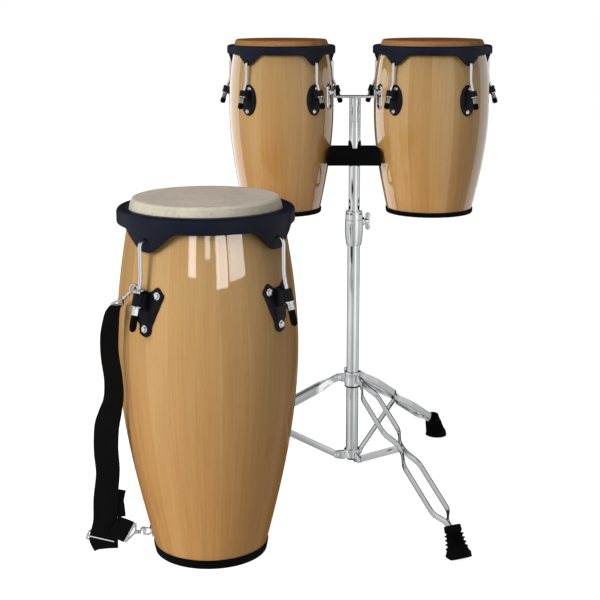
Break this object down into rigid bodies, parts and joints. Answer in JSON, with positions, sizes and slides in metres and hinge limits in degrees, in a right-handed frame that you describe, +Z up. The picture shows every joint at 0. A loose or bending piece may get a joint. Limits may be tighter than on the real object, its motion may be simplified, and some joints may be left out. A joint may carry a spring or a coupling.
{
  "type": "conga drum set",
  "caption": "Tall standing conga with shoulder strap, and mini congas hung on the T-bar of a folding tripod stand.",
  "frame": {"origin": "on the floor, in the middle of the footprint of the whole set", "axes": "+Z up; -Y towards the player and the front of the drums; +X along the T-bar, towards the larger mini conga"},
  "size_m": [0.8938, 0.9371, 1.0492],
  "materials": {
    "conga_wood": "clear gloss lacquer over light staves",
    "mini_wood": "clear gloss lacquer over pale staves",
    "natural_skin": "natural hide, matt",
    "brown_skin": "brown hide, matt",
    "black_paint": "satin powder coat",
    "chrome": "polished chrome plate",
    "rubber": "matt moulded rubber",
    "black_plastic": "moulded plastic",
    "webbing": "woven nylon webbing"
  },
  "bodies": {
    "stand_base": {"lower_tube": "chrome", "height_clamp": "chrome"},
    "height_screw": {"height_wing_bolt": "chrome"},
    "pole": {"upper_tube": "chrome", "t_bar": "chrome", "rest_bar": "black_plastic"},
    "collar": {"tripod_collar": "chrome"},
    "collar_screw": {"collar_wing_bolt": "chrome"},
    "tripod_leg_1": {"leg_1": "chrome", "foot_1": "rubber"},
    "tripod_brace_1": {"brace_1": "chrome"},
    "tripod_leg_2": {"leg_2": "chrome", "foot_2": "rubber"},
    "tripod_brace_2": {"brace_2": "chrome"},
    "tripod_leg_3": {"leg_3": "chrome", "foot_3": "rubber"},
    "tripod_brace_3": {"brace_3": "chrome"},
    "left_drum": {"left_shell": "mini_wood", "left_head": "brown_skin", "left_rim": "black_paint", "left_base_ring": "rubber", "left_mount_bracket": "chrome", "left_lug_1": "black_paint", "left_lug_2": "black_paint", "left_lug_3": "black_paint", "left_lug_4": "black_paint", "left_lug_5": "black_paint"},
    "left_knob": {"left_mount_knob": "black_plastic"},
    "right_drum": {"right_shell": "mini_wood", "right_head": "brown_skin", "right_rim": "black_paint", "right_base_ring": "rubber", "right_mount_bracket": "chrome", "right_lug_1": "black_paint", "right_lug_2": "black_paint", "right_lug_3": "black_paint", "right_lug_4": "black_paint", "right_lug_5": "black_paint"},
    "right_knob": {"right_mount_knob": "black_plastic"},
    "conga_drum": {"conga_shell": "conga_wood", "conga_head": "natural_skin", "conga_rim": "black_paint", "conga_base_ring": "rubber", "conga_lug_plate_1": "black_paint", "conga_lug_plate_2": "black_paint", "conga_lug_plate_3": "black_paint", "conga_lug_plate_4": "black_paint", "conga_tuning_rod_1": "chrome", "conga_tuning_rod_2": "chrome", "conga_tuning_rod_3": "chrome", "conga_tuning_rod_4": "chrome", "shoulder_strap": "webbing", "strap_slider": "chrome", "strap_top_clip": "chrome", "strap_bottom_clip": "chrome", "strap_eye": "chrome"},
    "tension_nut_1": {"conga_tension_nut_1": "chrome"},
    "tension_nut_2": {"conga_tension_nut_2": "chrome"},
    "tension_nut_3": {"conga_tension_nut_3": "chrome"},
    "tension_nut_4": {"conga_tension_nut_4": "chrome"}
  },
  "joints": [
    {"name": "pole_height", "type": "slide", "parent": "stand_base", "child": "pole", "axis": [0, 0, 1], "range_m": [-0.085, 0.15]},
    {"name": "height_screw_turn", "type": "hinge", "parent": "stand_base", "child": "height_screw", "pos_m": [0.141, 0.0608, 0.6435], "axis": [1, 0, 0], "continuous": true},
    {"name": "collar_slide", "type": "slide", "parent": "stand_base", "child": "collar", "axis": [0, 0, 1], "range_m": [0, 0.2201]},
    {"name": "collar_screw_turn", "type": "hinge", "parent": "collar", "child": "collar_screw", "pos_m": [0.10415, 0.08385, 0.2695], "axis": [-0.4695, 0.8829, 0], "continuous": true},
    {"name": "leg_1_fold", "type": "hinge", "parent": "collar", "child": "tripod_leg_1", "pos_m": [0.13267, 0.02981, 0.272], "axis": [0.8854, 0.4648, 0], "range_deg": [0, 55.2]},
    {"name": "brace_1_fold", "type": "hinge", "parent": "stand_base", "child": "tripod_brace_1", "pos_m": [0.13267, 0.02981, 0.081], "axis": [-0.8854, -0.4648, 0], "range_deg": [0, 59.9]},
    {"name": "leg_2_fold", "type": "hinge", "parent": "collar", "child": "tripod_leg_2", "pos_m": [0.1351, 0.09038, 0.272], "axis": [-0.8453, 0.5344, 0], "range_deg": [0, 55.2]},
    {"name": "brace_2_fold", "type": "hinge", "parent": "stand_base", "child": "tripod_brace_2", "pos_m": [0.1351, 0.09038, 0.081], "axis": [0.8453, -0.5344, 0], "range_deg": [0, 59.9]},
    {"name": "leg_3_fold", "type": "hinge", "parent": "collar", "child": "tripod_leg_3", "pos_m": [0.08143, 0.06221, 0.272], "axis": [-0.0401, -0.9992, 0], "range_deg": [0, 55.2]},
    {"name": "brace_3_fold", "type": "hinge", "parent": "stand_base", "child": "tripod_brace_3", "pos_m": [0.08143, 0.06221, 0.081], "axis": [0.0401, 0.9992, 0], "range_deg": [0, 59.9]},
    {"name": "left_drum_lift", "type": "slide", "parent": "pole", "child": "left_drum", "axis": [0, 0, 1], "range_m": [0, 0.08]},
    {"name": "left_knob_turn", "type": "hinge", "parent": "left_drum", "child": "left_knob", "pos_m": [0.0723, 0.0608, 0.9342], "axis": [1, 0, 0], "continuous": true},
    {"name": "right_drum_lift", "type": "slide", "parent": "pole", "child": "right_drum", "axis": [0, 0, 1], "range_m": [0, 0.08]},
    {"name": "right_knob_turn", "type": "hinge", "parent": "right_drum", "child": "right_knob", "pos_m": [0.15761, 0.0608, 0.9342], "axis": [-1, 0, 0], "continuous": true},
    {"name": "conga_lift", "type": "slide", "parent": "stand_base", "child": "conga_drum", "axis": [0, 0, 1], "range_m": [0, 0.3]},
    {"name": "tension_nut_1_turn", "type": "hinge", "parent": "conga_drum", "child": "tension_nut_1", "pos_m": [-0.32012, -0.45016, 0.5637], "axis": [-0.1622, -0.2168, -0.9626], "continuous": true},
    {"name": "tension_nut_2_turn", "type": "hinge", "parent": "conga_drum", "child": "tension_nut_2", "pos_m": [-0.027, -0.4053, 0.5637], "axis": [0.2196, -0.1584, -0.9626], "continuous": true},
    {"name": "tension_nut_3_turn", "type": "hinge", "parent": "conga_drum", "child": "tension_nut_3", "pos_m": [-0.074, -0.1151, 0.5637], "axis": [0.1584, 0.2196, -0.9626], "continuous": true},
    {"name": "tension_nut_4_turn", "type": "hinge", "parent": "conga_drum", "child": "tension_nut_4", "pos_m": [-0.3642, -0.1621, 0.5637], "axis": [-0.2196, 0.1584, -0.9626], "continuous": true}
  ],
  "couplings": [
    {"joint": "leg_1_fold", "follows": "collar_slide", "rad_per_m": 4.3613},
    {"joint": "brace_1_fold", "follows": "collar_slide", "rad_per_m": 4.7336},
    {"joint": "leg_2_fold", "follows": "collar_slide", "rad_per_m": 4.3613},
    {"joint": "brace_2_fold", "follows": "collar_slide", "rad_per_m": 4.7336},
    {"joint": "leg_3_fold", "follows": "collar_slide", "rad_per_m": 4.3613},
    {"joint": "brace_3_fold", "follows": "collar_slide", "rad_per_m": 4.7336}
  ]
}
